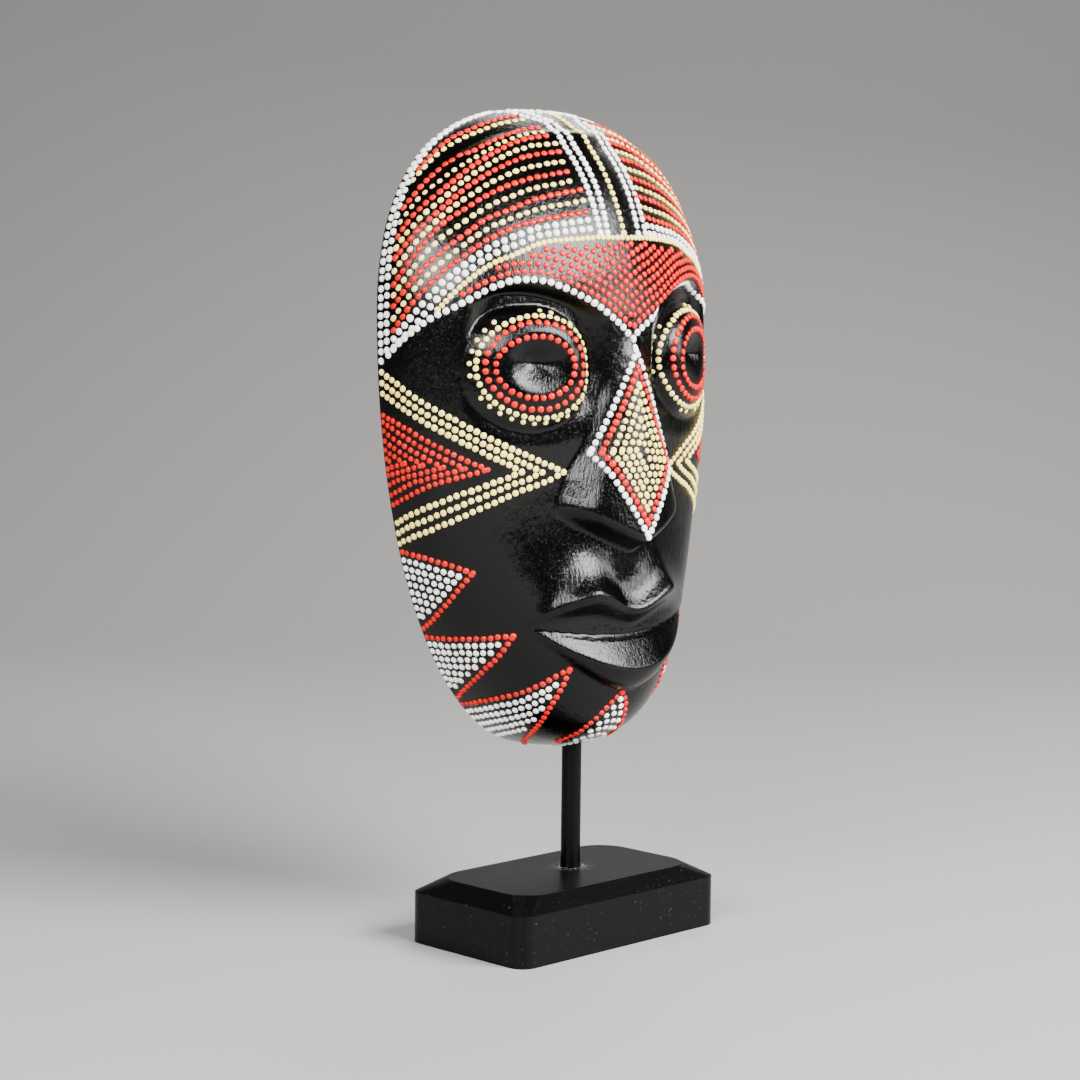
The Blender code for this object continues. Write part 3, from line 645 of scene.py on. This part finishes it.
# the arc shifted square to itself, closed in the middle where it leaves a gap
toMm = np.array([brow["mmPerDegree"], 1.0])
direction = np.gradient(arcCurve, axis=0) * toMm
normal = np.stack([-direction[:, 1], direction[:, 0]], axis=-1)
normal = normal / np.linalg.norm(direction, axis=1)[:, None]
normal = normal * np.sign(normal[:, 1:])
for k in range(1, brow["rows"] + 1):
    shifted = arcCurve + normal / toMm * brow["rowGap"] * k
    shifted = shifted[shifted[:, 0] < 0.0]
    if shifted[0, 0] < brow["openFrom"]:
        middleZ = shifted[0, 1] - brow["closingSlope"] * abs(shifted[0, 0])
        shifted = np.concatenate([[[0.0, middleZ]], shifted])
    whole = np.concatenate([shifted[::-1], mirrored(shifted, brow["drop"])[1:]])
    addRow("red", whole, spacing=3.75, size=3.0, keep=underLine)

# eyes: two red rings and a cream one with a broken second row outside it
eyeRings = {
    "outerRed": {"colour": "red", "x": -49.3, "z": 270.0, "wide": 20.5, "high": 19.5,
                 "spacing": 4.0, "size": 3.1},
    "innerRed": {"colour": "red", "x": -50.5, "z": 269.5, "wide": 16.2, "high": 13.8,
                 "spacing": 3.7, "size": 3.0},
    "cream": {"colour": "cream", "x": -48.0, "z": 269.5, "wide": 24.8, "high": 23.0,
              "spacing": 3.6, "size": 2.8},
}
looseRow = {"out": 2.3, "spacing": 5.6, "size": 2.3, "share": 0.55}
ringTurn = np.linspace(0.0, 2.0 * math.pi, 121)


def eyeRing(ring, sign, up, out=0.0):
    # ellipse round the eye, out mm wider all round; sign -1 gives the other eye
    x = sign * (ring["x"] + (ring["wide"] + out) * np.cos(ringTurn))
    z = ring["z"] + up + (ring["high"] + out) * np.sin(ringTurn)
    return toTurn(np.stack([x, z], axis=-1))


for ring in eyeRings.values():
    for sign, up in ((1.0, 0.0), (-1.0, face["eyeRiseLeft"] * 1000.0)):
        addRow(ring["colour"], eyeRing(ring, sign, up), ring["spacing"], size=ring["size"], closed=True)
        if ring["colour"] == "cream":
            addRow("cream", eyeRing(ring, sign, up, looseRow["out"]), looseRow["spacing"],
                   size=looseRow["size"], closed=True,
                   keep=lambda u, z: dotRandom.random(len(u)) < looseRow["share"])

# nose: diamond of a white row, a red row and cream rows inside
diamond = {"top": (0.0, 276.0), "right": (-24.0, 230.0), "left": (23.0, 225.0), "bottom": (0.0, 191.0),
           "gap": 3.4, "rows": 7, "joining": [(0.0, 281.0), (0.0, 277.5)],
           "leastHigh": 6.0, "leastWide": 1.0}


def insetPolygon(points, distance):
    # corners of the polygon moved inwards by the distance
    p = np.array(points, float)
    edge = np.roll(p, -1, axis=0) - p
    edge = edge / np.linalg.norm(edge, axis=1)[:, None]
    inward = np.stack([-edge[:, 1], edge[:, 0]], axis=-1)
    out = []
    for i in range(len(p)):
        a, b = inward[i - 1], inward[i]
        out.append(p[i] + (a + b) * distance / (1.0 + a @ b))
    return np.array(out)


addRow("white", toTurn(diamond["joining"]), spacing=3.2, size=2.9)
corners = [diamond["top"], diamond["right"], diamond["bottom"], diamond["left"]]
for k in range(diamond["rows"]):
    shape = insetPolygon(corners, k * diamond["gap"])
    if shape[0][1] - shape[2][1] < diamond["leastHigh"] or shape[1][0] > -diamond["leastWide"]:
        break
    colour = ("white", "red")[k] if k < 2 else "cream"
    for i in range(4):
        ends = np.array([shape[i], shape[(i + 1) % 4]])
        line = ends[0] + (ends[1] - ends[0]) * np.linspace(0.0, 1.0, 30)[:, None]
        addRow(colour, toTurn(line)[:-1], spacing=3.6, size=3.1 if k < 2 else 2.8)

# cream chevron on the cheek: outer and inner row given, the middle one between them
chevron = {
    "outerUp": [(-21.7, 221.5), (-25.9, 224.5), (-32.9, 229.2), (-40, 233.6), (-50, 240.2), (-60, 247.8),
                (-70, 254.5), (-80, 262.3), (-88, 267.5)],
    "outerDown": [(-21.7, 221.5), (-27.4, 217.7), (-36.6, 213.7), (-44.7, 209.7), (-54.5, 205.0),
                  (-64, 200.2), (-74, 195.7), (-83, 192.0), (-89, 189.3)],
    "innerUp": [(-35.8, 222.6), (-38.7, 224.8), (-43, 227.5), (-47.7, 230.5), (-54.2, 235.2),
                (-61.3, 240.0), (-70.7, 246.2), (-80.3, 253.0), (-88, 258.0)],
    "innerDown": [(-35.8, 222.6), (-41, 220.0), (-46.5, 217.8), (-52.2, 215.4), (-58.3, 213.0),
                  (-66.3, 209.3), (-74.3, 205.8), (-80.5, 203.0), (-88, 199.0)],
}
farCheek = {"drop": 1.0, "grow": 1.3, "about": 221.5}    # how the other cheek's figure differs
for outerName, innerName in (("outerUp", "innerUp"), ("outerDown", "innerDown")):
    outerCurve = throughPoints(chevron[outerName])
    innerCurve = throughPoints(chevron[innerName])
    for share in (0.0, 0.5, 1.0):
        addBoth("cream", outerCurve + (innerCurve - outerCurve) * share, spacing=3.5, size=2.95, **farCheek)

# cheek: red vees nested in one another
cheekVee = {"up": [(-47.8, 224.0), (-55.3, 228.3), (-66.8, 235.5), (-78.0, 242.8), (-88.5, 248.3)],
            "down": [(-47.8, 224.0), (-58.0, 220.7), (-68.0, 217.5), (-77.5, 212.8), (-88.5, 207.3)],
            "step": (-7.9, 0.7), "count": 6, "endTurn": -89.0}
for k in range(cheekVee["count"]):
    for arm in ("up", "down"):
        curve = throughPoints(cheekVee[arm]) + np.array(cheekVee["step"]) * k
        curve = curve[curve[:, 0] > cheekVee["endTurn"]]
        curve = curve[5 if arm == "down" else 0:]    # leaves one dot at the corner
        if len(curve) > 8:
            addBoth("red", curve, spacing=3.3, size=2.75, **farCheek)

# jaw and chin: triangles with two red sides, filled with white rows along the upper side
jaw = {
    "high": {"up": [(-58.5, 177.0), (-66.7, 180.3), (-74.0, 182.5), (-81.0, 184.2), (-88.5, 185.5)],
             "down": [(-58.5, 177.0), (-65.7, 169.0), (-73.0, 161.5), (-82.0, 153.5), (-88.5, 149.0)],
             "gap": 3.75, "first": 4.0, "margin": 4.6},
    "low": {"up": [(-49.0, 147.6), (-59.0, 146.5), (-69.5, 145.7), (-79.0, 145.0), (-88.5, 145.0)],
            "down": [(-49.0, 147.6), (-56.3, 139.0), (-65.3, 131.2), (-75.0, 123.7), (-88.5, 114.5)],
            "gap": 3.45, "first": 3.4, "margin": 4.0},
    "chin": {"up": [(-29.6, 131.5), (-40.2, 126.0), (-53.0, 120.2), (-69.5, 115.5), (-88.5, 111.0)],
             "down": [(-29.6, 131.5), (-34.6, 122.5), (-41.7, 113.3), (-49.0, 104.5), (-60.0, 95.5),
                      (-72.0, 89.0)],
             "gap": 3.5, "first": 3.7, "margin": 4.5},
}
for figure in jaw.values():
    upCurve = throughPoints(figure["up"])
    downCurve = throughPoints(figure["down"])
    addBoth("red", upCurve, spacing=3.5, size=2.95)
    addBoth("red", downCurve[4:], spacing=3.6, size=2.95)
    lowU = downCurve[::-1, 0]
    lowZ = downCurve[::-1, 1]
    for k in range(12):
        row = upCurve - np.array([0.0, figure["first"] + figure["gap"] * k])
        row = row[row[:, 1] > np.interp(row[:, 0], lowU, lowZ) + figure["margin"]]
        if len(row) > 6:
            addBoth("white", row, spacing=3.75, size=3.0)

# middle of the chin: one figure of its own, a little off the centre line, x and height in mm
chin = {
    "up": [(-3.3, 118.5), (-7.5, 114.0), (-11.0, 109.5), (-14.0, 104.0), (-15.5, 98.0), (-16.0, 93.0)],
    "down": [(-3.3, 118.5), (0.5, 114.0), (2.8, 108.5), (5.4, 102.5), (8.0, 97.5), (10.0, 93.0)],
    "highRow": 114.8, "lowRow": 90.0, "gap": 3.6, "sag": 1.5, "sagReach": 12.0,
    "from": 115.0, "leftMargin": 5.2, "leftGrow": 0.25, "rightMargin": 3.6, "rightGrow": 0.12,
    "endsBelow": 1.2, "overlap": -1.0,
}
leftSide = throughPoints(toTurn(chin["up"]))
rightSide = throughPoints(toTurn(chin["down"]))
addRow("red", leftSide, spacing=3.5, size=2.9)
addRow("red", rightSide[8:], spacing=3.6, size=2.9)
for level in np.arange(chin["highRow"], chin["lowRow"], -chin["gap"]):
    ends = [np.interp(level - chin["endsBelow"], edge[::-1, 1], edge[::-1, 0])
            for edge in (leftSide, rightSide)]
    down = chin["from"] - level
    between = [ends[0] + chin["leftMargin"] + chin["leftGrow"] * down,
               ends[1] - chin["rightMargin"] - chin["rightGrow"] * down]
    if between[1] - between[0] < chin["overlap"]:
        continue
    across = np.linspace(min(between), max(between) + 0.01, 12)
    sag = chin["sag"] * ((across - np.mean(across)) / chin["sagReach"]) ** 2
    addRow("white", np.stack([across, level - sag], axis=-1), spacing=3.9, size=2.9)


def dotMesh(rows):
    # low domes standing on the surface: a profile of (radius, height) shares turned round the normal
    # at each centre, longer along the row where the row is stretched
    sides = dotMake["sides"]
    profile = dotMake["profile"]
    row = np.concatenate(rows)
    u = np.radians(row[:, 0])
    z = row[:, 1] * 0.001
    centre = facePoint(u, z)
    small = 1e-3
    alongU = facePoint(u + small, z) - facePoint(u - small, z)
    alongZ = facePoint(u, z + 5e-4) - facePoint(u, z - 5e-4)
    normal = np.cross(alongU, alongZ)
    normal = normal / np.linalg.norm(normal, axis=1)[:, None]
    along = alongU * (np.radians(row[:, 2]) / (2 * small))[:, None] + alongZ * row[:, 3:4]
    along = along - normal * np.sum(along * normal, axis=1)[:, None]
    along = along / np.maximum(np.linalg.norm(along, axis=1), 1e-12)[:, None]
    across = np.cross(normal, along)
    radius = 0.5e-3 * row[:, 4]
    turnAt = np.linspace(0.0, 2.0 * math.pi, sides, endpoint=False)
    wobble = 1.0 + dotRandom.normal(0.0, dotMake["outOfRound"], (len(row), sides))
    rings = []
    for wide, high in profile:
        r = radius[:, None] * wide * wobble
        ring = centre[:, None, :] + (r * np.cos(turnAt) * row[:, 5:6])[..., None] * along[:, None, :]
        ring = ring + (r * np.sin(turnAt))[..., None] * across[:, None, :]
        rings.append(ring + (radius * high)[:, None, None] * normal[:, None, :])
    tip = centre + (radius * dotMake["tip"])[:, None] * normal
    points = np.concatenate([np.concatenate(rings, axis=1), tip[:, None, :]], axis=1)
    each = points.shape[1]
    k = np.arange(sides)
    n = (k + 1) % sides
    belt = np.stack([k, n, sides + n, sides + k], axis=-1)
    quads = np.concatenate([belt + j * sides for j in range(len(profile) - 1)])
    top = (len(profile) - 1) * sides
    caps = np.stack([top + k, top + n, np.full(sides, each - 1)], axis=-1)
    foot = np.arange(sides)[::-1]
    offset = (np.arange(len(row)) * each)[:, None, None]
    tone = np.repeat(dotRandom.random(len(row)), each)
    return (points.reshape(-1, 3), (quads[None] + offset).reshape(-1, 4),
            (caps[None] + offset).reshape(-1, 3), (foot[None, None, :] + offset).reshape(-1, sides), tone)


def makeDots(name, rows):
    # all dots of one colour as one piece
    points, quads, caps, feet, tone = dotMesh(rows)
    piece = makePiece(name, points, [quads, caps, feet], tone)
    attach(piece, "root")
    print(name, len(feet))
    return piece


dotPieces = {colour: makeDots("dots_" + colour, rows) for colour, rows in dots.items()}

# finishes: each paint mixes between two colours
paints = {
    "lacquer": ((0.0003, 0.0003, 0.0003, 1.0), (0.0009, 0.0008, 0.0008, 1.0)),
    "white": ((0.86, 0.85, 0.83, 1.0), (0.95, 0.94, 0.92, 1.0)),
    "cream": ((0.96, 0.72, 0.17, 1.0), (1.00, 0.86, 0.30, 1.0)),
    "red": ((0.42, 0.002, 0.0006, 1.0), (0.60, 0.004, 0.0008, 1.0)),
    "rod": ((0.0005, 0.0005, 0.0005, 1.0), (0.0015, 0.0014, 0.0014, 1.0)),
    "block": ((0.0004, 0.0004, 0.0004, 1.0), (0.0013, 0.0012, 0.0011, 1.0)),
}
dustColour = (0.20, 0.19, 0.18, 1.0)
even = (1.0, 1.0, 1.0)    # not stretched along any axis

lacquer = Graph("black_lacquer")
grain = lacquer.noise(lacquer.place((1.0, 1.0, 0.22)), scale=900.0, detail=3.0, roughness=0.6)
cloud = lacquer.noise(lacquer.place(even), scale=60.0, detail=4.0, roughness=0.6)
fleck = lacquer.noise(lacquer.place(even), scale=1400.0, detail=2.0, roughness=0.6)
fleck = lacquer.step(fleck, low=0.60, high=0.72)
lacquer.finish(Specular_IOR_Level=0.25, Base_Color=lacquer.mix(cloud, *paints["lacquer"]),
               Roughness=0.11 + 0.06 * cloud + 0.04 * fleck,
               Normal=lacquer.bump(grain + fleck * 0.1 + cloud * 1.5, distance=0.00032, strength=0.8))
maskPiece.data.materials.append(lacquer.material)

for colour, dotPiece in dotPieces.items():
    enamel = Graph("enamel_" + colour)
    tone = Number(enamel, enamel.node("ShaderNodeAttribute", {"attribute_name": "tone"}, {}).outputs["Fac"])
    spot = enamel.noise(enamel.place(even), scale=900.0, detail=2.0)
    enamel.finish(Specular_IOR_Level=0.25,
                  Base_Color=enamel.mix(0.75 * tone + 0.25 * spot, *paints[colour]),
                  Roughness=0.12 + 0.08 * spot, Normal=enamel.bump(spot, distance=0.00010, strength=0.5))
    dotPiece.data.materials.append(enamel.material)

satin = Graph("black_rod")
streak = satin.noise(satin.place((1.0, 1.0, 0.08)), scale=700.0, detail=3.0)
satin.finish(Specular_IOR_Level=0.10, Base_Color=satin.mix(streak, *paints["rod"]),
             Roughness=0.22 + 0.12 * streak, Normal=satin.bump(streak, distance=0.0001, strength=0.4))
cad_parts["rod"].data.materials.clear()
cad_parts["rod"].data.materials.append(satin.material)

# dust lies in spots on the block, more of it and thicker round the foot of the rod
block = Graph("black_block")
grainBlock = block.noise(block.place((0.12, 1.0, 1.0)), scale=500.0, detail=4.0, roughness=0.6)
atRod = 1.0 - block.step(block.away((0.0, 0.0, 0.0)), low=0.0055, high=0.0150)
dust = block.noise(block.place(even), scale=877.0, detail=3.0, roughness=0.7) + 0.14 * atRod
dust = block.step(dust, low=0.665, high=0.72)
blackWood = block.mix(grainBlock, *paints["block"])
block.finish(Specular_IOR_Level=0.14,
             Base_Color=block.mix(dust * (0.35 + 0.45 * atRod), blackWood, dustColour),
             Roughness=0.25 + 0.14 * grainBlock,
             Normal=block.bump(grainBlock + dust * 0.4, distance=0.00012, strength=0.5))
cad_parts["base"].data.materials.clear()
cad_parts["base"].data.materials.append(block.material)
print("finishes done")

# where the camera stands and looks: metres and radians
view = {"place": (-0.77687, -0.82417, 0.27902), "turn": math.radians(42.470), "pitch": math.radians(-3.281),
        "roll": 0.01168, "lens": 80.0, "sensor": 36.0, "shiftY": -60.0 / 1080.0, "clip": 0.01}
ahead = Vector((math.sin(view["turn"]), math.cos(view["turn"]), 0.0))
right = Vector((math.cos(view["turn"]), -math.sin(view["turn"]), 0.0))

# floor that bends up into a backdrop square to the view: a flat, a quarter round and a wall
studio = {"near": -3.5, "bend": 1.0, "radius": 1.9, "top": 4.5, "half": 5.0, "steps": 32,
          "colour": (0.31, 0.305, 0.297, 1.0), "roughness": 0.7,
          "room": (0.80, 0.80, 0.80, 1.0), "roomStrength": 0.09}
bend = np.linspace(0.0, 0.5 * math.pi, studio["steps"])
wall = studio["bend"] + studio["radius"]
run = np.concatenate([[studio["near"]], studio["bend"] + studio["radius"] * np.sin(bend), [wall]])
climb = np.concatenate([[0.0], studio["radius"] * (1.0 - np.cos(bend)), [studio["top"]]])
ends = np.array([-studio["half"], studio["half"]])
sheet = run[:, None, None] * np.array(ahead) + ends[None, :, None] * np.array(right)
sheet[:, :, 2] = climb[:, None]
floor = makePiece("floor", sheet.reshape(-1, 3), [gridFaces(len(run), 2, 0)])
floorPaint = Graph("floor_paint")
floorPaint.finish(Base_Color=studio["colour"], Roughness=studio["roughness"])
floor.data.materials.append(floorPaint.material)

world = bpy.context.scene.world or bpy.data.worlds.new("studio")
bpy.context.scene.world = world
world.use_nodes = True
background = world.node_tree.nodes["Background"]
background.inputs["Color"].default_value = studio["room"]
background.inputs["Strength"].default_value = studio["roomStrength"]

# soft boxes, each aimed at a height on the upright axis
lamps = {
    "front": {"place": (0.30, -1.42, 1.12), "aimZ": 0.28, "wide": 1.20, "tall": 0.76, "power": 132.0},
    "left": {"place": (-1.42, -0.55, 0.80), "aimZ": 0.28, "wide": 1.05, "tall": 0.52, "power": 50.0},
    "right": {"place": (0.80, -1.16, 0.44), "aimZ": 0.24, "wide": 0.52, "tall": 0.27, "power": 8.0},
    "back": {"place": (1.30, 0.90, 1.60), "aimZ": 0.25, "wide": 0.80, "tall": 0.80, "power": 16.0},
}


def softBox(name, place, aimZ, wide, tall, power):
    # rectangle of light whose middle looks at the aimed point, power in watts
    light = bpy.data.lights.new(name, "AREA")
    light.shape = "RECTANGLE"
    light.size = wide
    light.size_y = tall
    light.energy = power
    lamp = bpy.data.objects.new(name, light)
    lamp.location = place
    lamp.rotation_euler = (Vector((0.0, 0.0, aimZ)) - Vector(place)).to_track_quat("-Z", "Y").to_euler()
    bpy.context.scene.collection.objects.link(lamp)


for name, lamp in lamps.items():
    softBox(name, **lamp)

# camera: turned by its heading, tilted by the pitch, then rolled about its own axis
cameraData = bpy.data.cameras.new("camera")
cameraData.lens = view["lens"]
cameraData.sensor_width = view["sensor"]
cameraData.shift_y = view["shiftY"]
cameraData.clip_start = view["clip"]
camera = bpy.data.objects.new("camera", cameraData)
forward = ahead * math.cos(view["pitch"]) + Vector((0.0, 0.0, math.sin(view["pitch"])))
up = right.cross(forward)
rolledRight = right * math.cos(view["roll"]) + up * math.sin(view["roll"])
rolledUp = up * math.cos(view["roll"]) - right * math.sin(view["roll"])
turned = Matrix((rolledRight, rolledUp, -forward)).transposed()
camera.matrix_world = Matrix.Translation(view["place"]) @ turned.to_4x4()
bpy.context.scene.collection.objects.link(camera)
bpy.context.scene.camera = camera
print("light and camera done")
